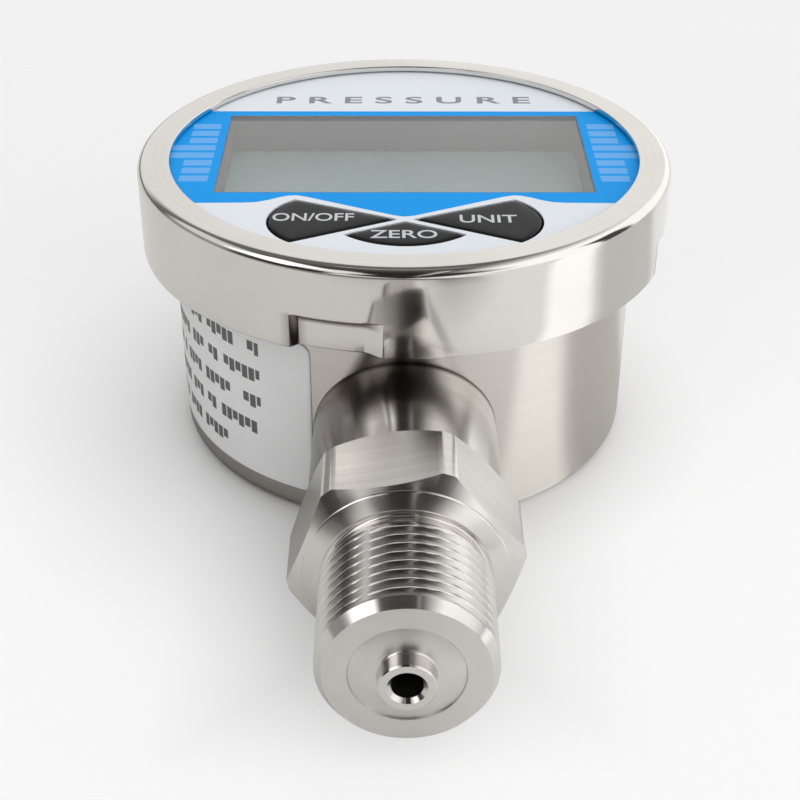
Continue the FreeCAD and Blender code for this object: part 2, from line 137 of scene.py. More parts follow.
# Tool marks: fine uneven lines of one direction, set by the distance across them and their pitch
marks, marks_in, marks_out = new_group(
    "tool_marks", [("Station", "NodeSocketFloat"), ("Pitch", "NodeSocketFloat"),
                   ("Vector", "NodeSocketVector"), ("Waver", "NodeSocketFloat")], ["Height", "Tone"])
sway = place(marks, "ShaderNodeTexNoise", {"Scale": 90.0, "Detail": 2.0}, {"Vector": marks_in["Vector"]})
lines = sum_of(marks, "DIVIDE", marks_in["Station"], marks_in["Pitch"])
lines = sum_of(marks, "MULTIPLY_ADD", sway.outputs["Fac"], marks_in["Waver"], lines)
fine = place(marks, "ShaderNodeTexNoise", {"Scale": 1.0, "Detail": 2.0, "Roughness": 0.6}, {"W": lines},
             noise_dimensions="1D")
broad = place(marks, "ShaderNodeTexNoise", {"Scale": 0.14, "Detail": 2.0}, {"W": lines},
              noise_dimensions="1D")
marks.links.new(fine.outputs["Fac"], marks_out["Height"])
marks.links.new(broad.outputs["Fac"], marks_out["Tone"])

satin_steel, tree, shader, spot = new_finish("satin_steel")
across = place(tree, "ShaderNodeSeparateXYZ", links={"Vector": spot})
ground = group_in(tree, marks, {"Pitch": 0.0003, "Waver": 0.6},
                  {"Station": across.outputs["Z"], "Vector": spot})
thumbed = group_in(tree, smears, {"Scale": 70.0}, {"Vector": spot})
feed(tree, shader, Base_Color=tinted(tree, ground["Tone"], (0.60, 0.575, 0.54), (0.65, 0.625, 0.59)))
feed(tree, shader, Roughness=spread(tree, thumbed["Mask"], 0.17, 0.24))
bumped(tree, shader, ground["Height"], 0.000003, 0.4)
set_values(shader, Metallic=1.0)


def smooth_shell(piece, angle=35.0):
    """Shades a CAD node's loose triangles as one smooth shell with its edges kept sharp."""
    weld = piece.modifiers.new("one_shell", "WELD")
    weld.merge_threshold = 0.000001
    split = piece.modifiers.new("sharp_edges", "EDGE_SPLIT")
    split.split_angle = math.radians(angle)
    even = piece.modifiers.new("even_faces", "WEIGHTED_NORMAL")
    even.weight = 80
    piece.data.polygons.foreach_set("use_smooth", np.ones(len(piece.data.polygons), bool))


def dress(piece, material):
    """Gives a piece its one material."""
    piece.data.materials.clear()
    piece.data.materials.append(material)


smooth_shell(cad["case_body"])
dress(cad["case_body"], satin_steel)

# Process connector: one bar of stainless steel, turned to a neck, a collar, a metric thread and a nose
# with its port, with a hexagon milled on it. Turning leaves fine rings, and the cutter lines across the
# flats. The neck is welded into the case and is a little duller. Its dark ring at the joint is the weld
# seam with painted contact shadow, and its left side carries painted shade.
axis_height = 13.455
neck_r, collar_r, bore_r = 12.0, 12.0, 9.6
neck_in, hex_rear, hex_front, collar_face = 27.006, 48.064, 59.514, 60.664
hex_half, bar_r, hex_turn, hex_rear_angle, hex_front_angle = 12.5, 14.0, 10.0, 42.0, 31.0
collar_cone = [(11.97, 59.61), (11.88, 59.70), (11.74, 59.78), (10.2, 60.60), (10.1, 60.645),
               (10.0, collar_face)]
relief_r, relief_end, relief_fillet = 9.45, 62.014, 0.35
thread_r, thread_pitch, thread_depth, crest_station = 10.0, 1.5, 0.92, 62.935
thread_start, chamfer_start, thread_end, end_r = 62.564, 75.044, 76.264, 9.13
run_in, run_out = 0.9, 0.3
recess_edge = [(6.46, thread_end), (6.38, 76.044), (6.24, 76.114)]
nose_r, nose_foot, nose_fillet, nose_end = 3.2, 76.114, 0.3, 78.264
nose_edge = [(nose_r, 78.1), (3.04, nose_end)]
port_r, port_mouth_r, port_mouth_end = 1.75, 2.2, 77.814
seat, pocket_r, pocket_end = 36.506, 6.0, 37.506
groove_in_r, groove_out_r, groove_end = 6.8, 8.4, 38.106


def build(name, points, faces, chart=None, shares=None, sharp=30.0):
    """A closed mesh from points in millimetres and quads; points that coincide become one, and
    edges that turn by more than the sharp angle stay crisp. A chart of two numbers per point
    becomes its UV map, and each named share per point an attribute, such as where it is milled."""
    mesh = bpy.data.meshes.new(name)
    mesh.from_pydata((points.reshape(-1, 3) * 0.001).tolist(), [], faces.reshape(-1, 4).tolist())
    if chart is not None:
        mesh.uv_layers.new(name="chart").data.foreach_set("uv", chart.reshape(-1, 2)[faces.ravel()].ravel())
    for key, share in (shares or {}).items():
        mesh.attributes.new(key, "FLOAT", "POINT").data.foreach_set("value", share.ravel().astype(np.float32))
    welded = bmesh.new()
    welded.from_mesh(mesh)
    bmesh.ops.remove_doubles(welded, verts=welded.verts, dist=1e-6)
    welded.to_mesh(mesh)
    welded.free()
    mesh.shade_smooth()
    mesh.set_sharp_from_angle(angle=math.radians(sharp))
    piece = bpy.data.objects.new(name, mesh)
    bpy.context.scene.collection.objects.link(piece)
    return piece


def cells(rows):
    """The quads between neighbouring rows of point numbers, round a closed ring of columns. A
    quad looks along the column direction crossed with the row direction."""
    around = np.roll(rows, -1, axis=1)
    return np.stack([rows[:-1], around[:-1], around[1:], rows[1:]], -1)


def arc(r, s, radius, start, stop, count):
    """Points of a round in a profile: from its centre, at even steps between two angles."""
    a = np.radians(np.linspace(start, stop, count))
    return list(zip(r + radius * np.cos(a), s + radius * np.sin(a)))


def loft(keys, columns, step=2.0):
    """Radius and station over rows and columns: straight runs between key points, each of which
    is a number or one value per column, cut into rows about a step apart."""
    keys = [np.stack(np.broadcast_arrays(np.asarray(r, float), np.asarray(s, float), np.zeros(columns))[:2])
            for r, s in keys]
    runs = []
    for a, b in zip(keys, keys[1:]):
        rows = max(1, int(np.abs(b - a).max() / step))
        t = np.arange(rows)[:, None, None] / rows
        runs.append(a + (b - a) * t)
    runs.append(keys[-1][None])
    return np.concatenate(runs)


strip = 30.0 - math.degrees(math.acos(hex_half / bar_r))
sector = np.concatenate([np.linspace(-strip, strip, 5)[:-1], np.linspace(strip, 60.0 - strip, 29)[:-1]])
turn = (hex_turn + 60.0 * np.arange(6)[:, None] + sector).ravel()
off_corner = np.abs((turn - hex_turn + 30.0) % 60.0 - 30.0)
hex_r = np.minimum(bar_r, hex_half / np.cos(np.radians(30.0 - off_corner)))
hex_back = hex_rear + (hex_r - neck_r) * math.tan(math.radians(hex_rear_angle))
hex_face = hex_front - (hex_r - collar_r) * math.tan(math.radians(hex_front_angle))

behind = loft([(bore_r, neck_in), (neck_r, neck_in), (neck_r, hex_rear), (hex_r, hex_back), (hex_r, hex_face),
               (collar_r, hex_front)] + collar_cone
              + arc(relief_r + relief_fillet, collar_face + relief_fillet, relief_fillet, -90, -180, 6)
              + [(relief_r, relief_end)], len(turn))

# The thread: the radius falls from the crest along 60 degree flanks to a flat root, and follows a
# right-hand helix, one pitch further out for each turn; both ends run out.
station = np.linspace(relief_end, thread_end, 286)[1:-1]
helix = (station[:, None] - crest_station) / thread_pitch - turn / 360.0
from_crest = np.abs((helix + 0.5) % 1.0 - 0.5)
cut = np.clip((from_crest - 1 / 16) * thread_pitch * math.sqrt(3.0), 0.0, thread_depth)
cut *= np.clip((station - relief_end) / run_in, 0.0, 1.0)[:, None]
cut *= np.clip((chamfer_start - station) / run_out, 0.0, 1.0)[:, None]
envelope = np.interp(station, [relief_end, thread_start, chamfer_start, thread_end],
                     [relief_r, thread_r, thread_r, end_r])
threaded = np.stack([np.minimum(envelope[:, None], thread_r - cut),
                     np.broadcast_to(station[:, None], cut.shape)], 1)

ahead = loft([(end_r, thread_end)] + recess_edge
             + arc(nose_r + nose_fillet, nose_foot + nose_fillet, nose_fillet, -90, -180, 6) + nose_edge
             + [(port_mouth_r, nose_end), (port_r, port_mouth_end), (port_r, pocket_end),
                (pocket_r, pocket_end), (pocket_r, seat), (groove_in_r, seat), (groove_in_r, groove_end),
                (groove_out_r, groove_end), (groove_out_r, seat), (bore_r, seat), (bore_r, neck_in)],
             len(turn))

bar = np.concatenate([behind, threaded, ahead])
bar_points = np.stack([bar[:, 0] * np.cos(np.radians(turn)), -bar[:, 1],
                       axis_height + bar[:, 0] * np.sin(np.radians(turn))], -1)
bar_rows = np.arange(bar_points.shape[0] * len(turn)).reshape(-1, len(turn))
travel = np.cumsum(np.linalg.norm(np.diff(bar, axis=0, prepend=bar[:1]), axis=1), axis=0)
bar_chart = np.stack([travel / 100.0, np.broadcast_to(turn / 360.0, travel.shape)], -1)
on_flat = (np.abs(bar[:, 0] - hex_r) < 0.001) & (bar[:, 1] > hex_rear) & (bar[:, 1] < hex_front)
on_flat &= off_corner >= strip
on_end = (bar[:, 0] > nose_r + 0.2) & (bar[:, 0] < end_r + 0.01)
on_end &= (bar[:, 1] > nose_foot - 0.2) & (bar[:, 1] <= thread_end)
connector = build("connector", bar_points, cells(bar_rows), bar_chart,
                  {"milled": 0.5 * on_flat + 1.0 * on_end})


def between(tree, value, low, high, soft):
    """1 between two limits, falling to 0 over a soft edge outside each."""
    return sum_of(tree, "MULTIPLY", spread(tree, value, 0.0, 1.0, low - soft, low),
                  spread(tree, value, 1.0, 0.0, high, high + soft))


def off_axis(tree, spot):
    """The distance of a spot from the case's upright axis."""
    flat = place(tree, "ShaderNodeVectorMath", {1: (1.0, 1.0, 0.0)}, {0: spot}, operation="MULTIPLY")
    made = place(tree, "ShaderNodeVectorMath", links={0: flat.outputs["Vector"]}, operation="LENGTH")
    return made.outputs["Value"]


turned_steel, tree, shader, spot = new_finish("turned_steel")
across = place(tree, "ShaderNodeSeparateXYZ", links={"Vector": spot})
flats = place(tree, "ShaderNodeAttribute", attribute_name="milled").outputs["Fac"]
chart = place(tree, "ShaderNodeUVMap", uv_map="chart").outputs["UV"]
charted = place(tree, "ShaderNodeSeparateXYZ", links={"Vector": chart})
passed = sum_of(tree, "SUBTRACT", sum_of(tree, "MULTIPLY", charted.outputs["X"], 0.1), across.outputs["Y"])
slant = sum_of(tree, "MULTIPLY", sum_of(tree, "MULTIPLY", across.outputs["X"], flats), 0.2)
rings = group_in(tree, marks, {"Pitch": 0.00048, "Waver": 0.0},
                 {"Station": sum_of(tree, "ADD", passed, slant), "Vector": spot})
from_case, weld_line = off_axis(tree, spot), 0.0322
# The weld's dark seam at the case, deepened by painted contact shadow in the joint
seam_and_shadow = between(tree, from_case, weld_line, 0.0325, 0.0009)
on_hexagon = between(tree, flats, 0.4, 0.6, 0.2)
scored = sum_of(tree, "SUBTRACT", rings["Height"], 0.5)
scored = sum_of(tree, "MULTIPLY_ADD", scored, on_hexagon, rings["Tone"])
cleaned = tinted(tree, scored, (0.66, 0.645, 0.625), (0.75, 0.735, 0.715))
# Painted shade: the left of the neck is darkened near the case and along its flank
painted_left_shade = sum_of(tree, "MULTIPLY", between(tree, from_case, weld_line, 0.0405, 0.0045),
              spread(tree, across.outputs["X"], 1.0, 0.0, -0.001, 0.006))
on_neck = spread(tree, across.outputs["Y"], 0.0, 1.0, -0.0490, -0.0478)
painted_flank_shade = sum_of(tree, "MULTIPLY", on_neck, spread(tree, across.outputs["X"], 1.0, 0.0, -0.0080, -0.0055))
neck_shaded = tinted(tree, sum_of(tree, "MAXIMUM", painted_left_shade, painted_flank_shade), cleaned, (0.25, 0.225, 0.205))
feed(tree, shader, Base_Color=tinted(tree, seam_and_shadow, neck_shaded, (0.05, 0.042, 0.037)))
polish = sum_of(tree, "MULTIPLY_ADD", on_neck, 0.04, spread(tree, flats, 0.175, 0.29))
feed(tree, shader, Roughness=polish)
grooves = sum_of(tree, "MULTIPLY_ADD", on_hexagon, 1.2, spread(tree, flats, 0.1, 2.4))
grooves = sum_of(tree, "MULTIPLY", rings["Height"], grooves)
bumped(tree, shader, grooves, 0.000006, 0.5)
along = place(tree, "ShaderNodeTangent", direction_type="UV_MAP", uv_map="chart")
feed(tree, shader, Tangent=along.outputs["Tangent"])
set_values(shader, Metallic=1.0, Anisotropic=0.75)
dress(connector, turned_steel)
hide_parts("process_connector")
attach(connector, "gauge_body")

# Pressure sensor: an oil-filled steel capsule held in the neck by a ring with spanner holes,
# against a rubber ring, with a sheathed lead up to a socket on the board.
grain, grain_in, grain_out = new_group(
    "moulded_grain", [("Vector", "NodeSocketVector"), ("Scale", "NodeSocketFloat")], ["Height", "Tone"])
specks = place(grain, "ShaderNodeTexNoise", {"Detail": 3.0, "Roughness": 0.55},
               {"Vector": grain_in["Vector"], "Scale": grain_in["Scale"]})
patches = place(grain, "ShaderNodeTexNoise", {"Detail": 2.0},
                {"Vector": grain_in["Vector"], "Scale": sum_of(grain, "MULTIPLY", grain_in["Scale"], 0.06)})
grain.links.new(specks.outputs["Fac"], grain_out["Height"])
grain.links.new(patches.outputs["Fac"], grain_out["Tone"])


def moulded(name, dark, light, roughness, scale, depth):
    """A moulded, rubber or painted finish: its tone drifts, its gloss varies and its skin is grained."""
    material, tree, shader, spot = new_finish(name)
    skin = group_in(tree, grain, {"Scale": scale}, {"Vector": spot})
    feed(tree, shader, Base_Color=tinted(tree, skin["Tone"], dark, light))
    feed(tree, shader, Roughness=spread(tree, skin["Tone"], roughness - 0.06, roughness + 0.06, 0.3, 0.7))
    bumped(tree, shader, skin["Height"], depth, 0.5)
    return material


seal_rubber = moulded("seal_rubber", (0.014, 0.014, 0.015), (0.026, 0.026, 0.027), 0.62, 2600.0, 0.00002)
lead_sheath = moulded("lead_sheath", (0.33, 0.335, 0.34), (0.40, 0.405, 0.41), 0.5, 3000.0, 0.00001)
socket_nylon = moulded("socket_nylon", (0.60, 0.585, 0.54), (0.68, 0.665, 0.62), 0.45, 2400.0, 0.00001)
dress(cad["sensor_capsule"], turned_steel)
dress(cad["sensor_lock_ring"], turned_steel)
dress(cad["sensor_o_ring"], seal_rubber)
dress(cad["sensor_lead"], lead_sheath)
dress(cad["sensor_socket"], socket_nylon)

# Battery: one shrink-wrapped lithium cell in an open plastic cradle, stuck to the case back with
# foam, with nickel-plated spring plates and two wires up to the board.
cell_wrap, tree, shader, spot = new_finish("cell_wrap")
across = place(tree, "ShaderNodeSeparateXYZ", links={"Vector": spot})
shrink = group_in(tree, grain, {"Scale": 700.0}, {"Vector": spot})
ends = sum_of(tree, "GREATER_THAN", sum_of(tree, "ABSOLUTE", across.outputs["X"], 0.0), 0.0123)
feed(tree, shader, Base_Color=tinted(tree, ends, (0.03, 0.12, 0.07), (0.55, 0.55, 0.54)))
feed(tree, shader, Metallic=ends)
feed(tree, shader, Roughness=spread(tree, shrink["Tone"], 0.22, 0.34))
bumped(tree, shader, shrink["Height"], 0.00003, 0.4)

plated_metal, tree, shader, spot = new_finish("plated_metal")
handled = group_in(tree, smears, {"Scale": 300.0}, {"Vector": spot})
feed(tree, shader, Base_Color=tinted(tree, handled["Mask"], (0.62, 0.61, 0.58), (0.72, 0.71, 0.68)))
feed(tree, shader, Roughness=spread(tree, handled["Mask"], 0.24, 0.38))
set_values(shader, Metallic=1.0)

black_abs = moulded("black_abs", (0.018, 0.018, 0.019), (0.030, 0.030, 0.031), 0.5, 2200.0, 0.00002)
foam_grey = moulded("foam_grey", (0.16, 0.16, 0.165), (0.24, 0.24, 0.245), 0.85, 1500.0, 0.00015)
dress(cad["battery_cell"], cell_wrap)
dress(cad["battery_holder"], black_abs)
dress(cad["battery_pad"], foam_grey)
dress(cad["battery_contacts"], plated_metal)
dress(cad["battery_leads"], lead_sheath)

# Main board: a round glass-fibre board under green resist, screwed to the front plate's bosses,
# with the controller below and three push switches above.
board_green, tree, shader, spot = new_finish("board_green")
plan = place(tree, "ShaderNodeSeparateXYZ", links={"Vector": spot})
weft, warp = (sum_of(tree, "MULTIPLY", plan.outputs[axis], 9000.0) for axis in "XY")
weave = sum_of(tree, "MULTIPLY", sum_of(tree, "SINE", weft, 0.0), sum_of(tree, "SINE", warp, 0.0))
tracks = place(tree, "ShaderNodeTexBrick", {"Scale": 260.0, "Mortar Size": 0.06, "Color1": (0, 0, 0, 1),
               "Color2": (0, 0, 0, 1), "Mortar": (1, 1, 1, 1)}, {"Vector": spot})
feed(tree, shader, Base_Color=tinted(tree, tracks.outputs["Fac"], (0.012, 0.085, 0.035), (0.02, 0.13, 0.055)))
feed(tree, shader, Roughness=spread(tree, weave, 0.28, 0.36, -1.0, 1.0))
bumped(tree, shader, weave, 0.000004, 0.5)
dress(cad["main_board"], board_green)
dress(cad["board_screws"], plated_metal)
dress(cad["controller_chip"], black_abs)
dress(cad["key_switches"], black_abs)

# Display: a liquid-crystal cell on a light guide, with rubber contact strips along its long edges.
# Switched off, the cell is a flat grey-green that drifts a little in soft patches.
display_cell, tree, shader, spot = new_finish("display_cell")
film = group_in(tree, grain, {"Scale": 900.0}, {"Vector": spot})
rubbed = group_in(tree, smears, {"Scale": 45.0}, {"Vector": spot})
feed(tree, shader, Base_Color=tinted(tree, rubbed["Mask"], (0.195, 0.28, 0.27), (0.22, 0.305, 0.295)))
feed(tree, shader, Roughness=spread(tree, film["Tone"], 0.30, 0.42))
dress(cad["lcd_glass"], display_cell)

guide_white = moulded("guide_white", (0.74, 0.75, 0.75), (0.80, 0.81, 0.81), 0.35, 1800.0, 0.000005)
dress(cad["backlight_panel"], guide_white)
dress(cad["elastomer_strips"], seal_rubber)

# Front plate: one grey plastic moulding on a rubber ring, with the display's well, the key pockets
# and the board's bosses. A clear pane lies in a rebate over the well.
grey_plastic = moulded("grey_plastic", (0.11, 0.112, 0.123), (0.133, 0.135, 0.147), 0.55, 2400.0, 0.00001)
dress(cad["front_plate"], grey_plastic)
dress(cad["face_gasket"], seal_rubber)

clear_pane, tree, shader, spot = new_finish("clear_pane")
wiped = group_in(tree, smears, {"Scale": 60.0}, {"Vector": spot})
feed(tree, shader, Base_Color=tinted(tree, wiped["Mask"], (0.97, 0.98, 0.98), (0.94, 0.95, 0.95)))
feed(tree, shader, Roughness=spread(tree, wiped["Mask"], 0.0, 0.05))
set_values(shader, IOR=1.49, Transmission_Weight=1.0)
through = place(tree, "ShaderNodeBsdfTransparent")
ray = place(tree, "ShaderNodeLightPath")
lighting = sum_of(tree, "MAXIMUM", ray.outputs["Is Shadow Ray"], ray.outputs["Is Diffuse Ray"])
pane_mix = place(tree, "ShaderNodeMixShader", links={0: lighting})
tree.links.new(shader.outputs["BSDF"], pane_mix.inputs[1])
tree.links.new(through.outputs["BSDF"], pane_mix.inputs[2])
tree.links.new(pane_mix.outputs["Shader"], tree.nodes["Material Output"].inputs["Surface"])
dress(cad["display_window"], clear_pane)

# Overlay: a polycarbonate film, screen-printed from behind in white and blue and stuck to the
# front plate. A blue band carries the window, with pale scale bars at both sides, and dips in a
# vee between the keys.
band_top, bar_low, bar_high, bar_pitch, bar_share = 16.1, -8.9, 11.9, 2.6, 0.72
bar_in, bar_out, long_bar_out, long_low, long_high = 26.4, 30.3, 33.5, -1.1, 4.1
band_edge = [(0.0, -19.75), (0.6, -19.65), (1.4, -19.4), (13.0, -13.75), (14.2, -13.32), (15.2, -13.4),
             (16.5, -13.95), (17.8, -14.75), (19.3, -15.4), (21.0, -15.6), (40.0, -15.9)]
edge_reach, edge_base, edge_span = 40.0, -20.0, 10.0
overlay_print, tree, shader, spot = new_finish("overlay_print")
plan = place(tree, "ShaderNodeSeparateXYZ", links={"Vector": spot})
x = sum_of(tree, "MULTIPLY", sum_of(tree, "ABSOLUTE", plan.outputs["X"], 0.0), 1000.0)
y = sum_of(tree, "MULTIPLY", plan.outputs["Y"], 1000.0)


def inside(tree, value, low, high):
    """1 where a value lies between two limits, otherwise 0."""
    return sum_of(tree, "MULTIPLY", sum_of(tree, "GREATER_THAN", value, low),
                  sum_of(tree, "LESS_THAN", value, high))


edge = place(tree, "ShaderNodeValToRGB", links={0: sum_of(tree, "DIVIDE", x, edge_reach)})
for reach, drop in band_edge[1:-1]:
    edge.color_ramp.elements.new(reach / edge_reach)
for element, (reach, drop) in zip(edge.color_ramp.elements, band_edge):
    element.position = reach / edge_reach
    level = (drop - edge_base) / edge_span
    element.color = (level, level, level, 1.0)
band_low = sum_of(tree, "MULTIPLY_ADD", edge.outputs["Color"], edge_span, edge_base)
blue = inside(tree, y, band_low, band_top)
rung = sum_of(tree, "FRACT", sum_of(tree, "DIVIDE", sum_of(tree, "SUBTRACT", y, bar_low), bar_pitch), 0.0)
rung = sum_of(tree, "MULTIPLY", sum_of(tree, "LESS_THAN", rung, bar_share),
              inside(tree, y, bar_low, bar_high))
long_rung = sum_of(tree, "MULTIPLY", inside(tree, y, long_low, long_high),
                   inside(tree, x, bar_in, long_bar_out))
bars = sum_of(tree, "MULTIPLY", rung, sum_of(tree, "MAXIMUM", inside(tree, x, bar_in, bar_out), long_rung))
ink = group_in(tree, grain, {"Scale": 1200.0}, {"Vector": spot})
white_ink = tinted(tree, ink["Tone"], (0.73, 0.77, 0.82), (0.79, 0.825, 0.87))
blue_ink = tinted(tree, ink["Tone"], (0.004, 0.30, 0.80), (0.008, 0.335, 0.85))
printed = tinted(tree, blue, white_ink, blue_ink)
printed = tinted(tree, bars, printed, (0.14, 0.42, 0.85))
feed(tree, shader, Base_Color=printed)
feed(tree, shader, Roughness=spread(tree, ink["Height"], 0.30, 0.38))
bumped(tree, shader, ink["Height"], 0.0000015, 0.3)
set_values(shader, Specular_IOR_Level=0.03)
dress(cad["overlay_film"], overlay_print)

# Dial words: one word in wide capitals above the window, screen-printed on the film in grey ink, which
# stands up a little.


def lettering(name, words, height, width, x, y, low, high, bold=0.0, apart=1.0):
    """Capitals as a thin raised print: an outline font turned into a mesh, stretched to a width and
    a height about a centre, between two heights."""
    curve = bpy.data.curves.new(name, "FONT")
    curve.body = words
    curve.extrude = 0.5
    curve.offset = bold
    curve.space_character = apart
    drawn = bpy.data.objects.new(name + "_outline", curve)
    bpy.context.scene.collection.objects.link(drawn)
    mesh = bpy.data.meshes.new_from_object(drawn.evaluated_get(bpy.context.evaluated_depsgraph_get()))
    bpy.data.objects.remove(drawn)
    points = np.zeros(len(mesh.vertices) * 3)
    mesh.vertices.foreach_get("co", points)
    points = points.reshape(-1, 3)
    least, most = points.min(0), points.max(0)
    points = (points - (least + most) / 2) / (most - least) * (width, height, high - low)
    points += (x, y, (low + high) / 2)
    mesh.vertices.foreach_set("co", (points * 0.001).ravel())
    mesh.update()
    mesh.name = name
    piece = bpy.data.objects.new(name, mesh)
    bpy.context.scene.collection.objects.link(piece)
    return piece


title_ink = moulded("title_ink", (0.19, 0.20, 0.22), (0.23, 0.24, 0.26), 0.4, 2000.0, 0.000003)
title = lettering("dial_title", "PRESSURE", height=2.7, width=38.0, x=0.0, y=20.6, low=39.70, high=39.77,
                  bold=0.02, apart=1.6)
dress(title, title_ink)
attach(title, "gauge_body")

# Keys: three glossy black mouldings, two fans with a lens between them, each crowned a little and
# with soft edges, on a post down to its switch. Their legends are printed in pale grey.
key_top, key_low, post_low, post_r = 39.905, 38.705, 33.7, 1.8
crown_fall, crown_share, edge_step, edge_round = 0.10, 0.9, 0.02, 0.36
fan_tip, fan_top, fan_low, fan_bow = (1.35, -20.55), (14.35, -14.8), (14.35, -26.9), (17.45, -20.85)
lens_top, lens_half, lens_side_y, lens_low = -21.36, 7.4, -24.97, -27.97
fan_post, lens_post_y, legend_height = (11.35, -20.55), -24.96, 2.25


def evenly(corners, count):
    """Points at even distances along a closed outline, its corners softened by a running mean."""
    closed = np.vstack([corners, corners[:1]])
    length = np.concatenate([[0.0], np.cumsum(np.linalg.norm(np.diff(closed, axis=0), axis=1))])
    along = np.linspace(0.0, length[-1], count, endpoint=False)
    even = np.stack([np.interp(along, length, closed[:, k]) for k in range(2)], -1)
    return sum(np.roll(even, shift, axis=0) for shift in range(-2, 3)) / 5.0


def bow(a, middle, b, count):
    """Points of the round through three points: a parabola on the chord, raised to the middle."""
    t = np.linspace(0.0, 1.0, count)[:, None]
    chord = (1 - t) * a + t * b
    return chord + (middle - (a + b) / 2) * (4 * t * (1 - t))


def key_cap(name, outline, post):
    """A key: rows of the outline drawn in towards the post's axis by a share, at a height. The crown
    falls with the sixth power of the share, a quarter round turns it into the side, and a post
    stands under the middle."""
    inner, rolling = np.linspace(0.0, crown_share, 12), np.radians(np.linspace(0, 90, 7))
    share = np.concatenate([inner, 0.93 + 0.07 * np.sin(rolling), [1.0, 0.985]])
    crown = key_top - crown_fall * inner ** 6
    roll = crown[-1] - edge_step - edge_round * (1 - np.cos(rolling))
    height = np.concatenate([crown, roll, [key_low + 0.05, key_low]])
    out = outline - post
    cap = post + out[None] * share[:, None, None]
    ring = post + out / np.linalg.norm(out, axis=1, keepdims=True) * post_r
    flat = np.concatenate([cap, ring[None], ring[None], np.broadcast_to(post, ring.shape)[None]])
    levels = np.concatenate([height, [key_low, post_low, post_low]])
    points = np.concatenate([flat, np.broadcast_to(levels[:, None, None], (*flat.shape[:2], 1))], -1)[::-1]
    rows = np.arange(points.shape[0] * points.shape[1]).reshape(points.shape[:2])
    return build(name, points, cells(rows))


def fan(side):
    """A fan key's outline, counted round to the left: a tip, two flanks and a bowed outer end."""
    tip, top, low, bulge = np.array([fan_tip, fan_top, fan_low, fan_bow])
    path = [np.linspace(tip, low, 20)[:-1], bow(low, bulge, top, 20)[:-1], np.linspace(top, tip, 20)[:-1]]
    path = np.vstack(path)
    return path if side > 0 else (path * (-1, 1))[::-1]


def lens():
    """The middle key's outline, counted round to the left: an apex, two flanks and a round belly."""
    apex, belly = np.array([(0.0, lens_top), (0.0, lens_low)])
    left, right = np.array([(-lens_half, lens_side_y), (lens_half, lens_side_y)])
    path = [np.linspace(apex, left, 16)[:-1], bow(left, belly, right, 24)[:-1],
            np.linspace(right, apex, 16)[:-1]]
    return np.vstack(path)


key_plastic, tree, shader, spot = new_finish("key_plastic")
skin = group_in(tree, grain, {"Scale": 1500.0}, {"Vector": spot})
thumbed = group_in(tree, smears, {"Scale": 130.0}, {"Vector": spot})
feed(tree, shader, Base_Color=tinted(tree, skin["Tone"], (0.007, 0.007, 0.008), (0.011, 0.011, 0.013)))
feed(tree, shader, Roughness=spread(tree, thumbed["Mask"], 0.20, 0.32))
bumped(tree, shader, skin["Height"], 0.000002, 0.4)
set_values(shader, Specular_IOR_Level=0.12)
legend_ink = moulded("legend_ink", (0.52, 0.54, 0.57), (0.60, 0.62, 0.65), 0.45, 2000.0, 0.000003)

for body, outline, post, words, width, centre in [
        ("on_off_button", fan(-1), (-fan_post[0], fan_post[1]), "ON/OFF", 10.4, (-11.7, -20.2)),
        ("zero_button", lens(), (0.0, lens_post_y), "ZERO", 8.4, (-0.2, -25.1)),
        ("unit_button", fan(1), fan_post, "UNIT", 7.3, (10.6, -20.7))]:
    key = body.replace("_button", "")
    cap = key_cap(key + "_cap", evenly(outline, 160), np.array(post))
    dress(cap, key_plastic)
    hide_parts(key + "_key")
    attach(cap, body)
    legend = lettering(key + "_legend", words, legend_height, width, *centre,
                       low=key_top - 0.08, high=key_top + 0.012, bold=0.012)
    dress(legend, legend_ink)
    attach(legend, body)
    dress(cad[key + "_plunger"], black_abs)

# Bezel: a ring rolled from stainless sheet, with a flat lip, a round rim and a skirt. Four lances
# are slit and pressed inwards under the case flange, so a short twist frees it. Buffed bright.
skirt_out, skirt_in, skirt_low, slit_z = 36.71, 35.91, 28.555, 33.255
rim_r, rim_z, lip_r, lip_low, bezel_top = 35.41, 39.455, 32.31, 39.955, 40.755
rim_round, lip_round, low_in_round, low_out_round = 1.3, 0.16, 0.15, 0.25
lance_start, entry, level, leave, push = -23.2, 1.6, 13.3, 4.3, 1.2
slit_shade_low, slit_shade_high, sheared_edge = slit_z - 1.3, slit_z - 0.8, 0.22
sheet = skirt_out - skirt_in


def eased(t):
    """A smooth step from 0 to 1: three t squared less two t cubed."""
    t = np.clip(t, 0.0, 1.0)
    return t * t * (3 - 2 * t)


part_way = 0.5 - math.sin(math.asin(1 - 2 * sheet / push) / 3)
quarter = np.concatenate([
    np.linspace(0.0, entry, 12)[:-1], [entry * part_way], entry + np.linspace(0.0, level, 9)[:-1],
    entry + level + np.linspace(0.0, leave, 16)[:-1], [entry + level + leave * (1 - part_way)],
    np.linspace(entry + level + leave, 90.0, 37)[:-1]])
quarter.sort()
depth = push * (eased(quarter / entry) - eased((quarter - entry - level) / leave))
depth[np.abs(depth - sheet) < 1e-6] = sheet
depth = np.tile(depth, 4)
bearing = np.radians(lance_start - 90.0 + (90.0 * np.arange(4)[:, None] + quarter).ravel())

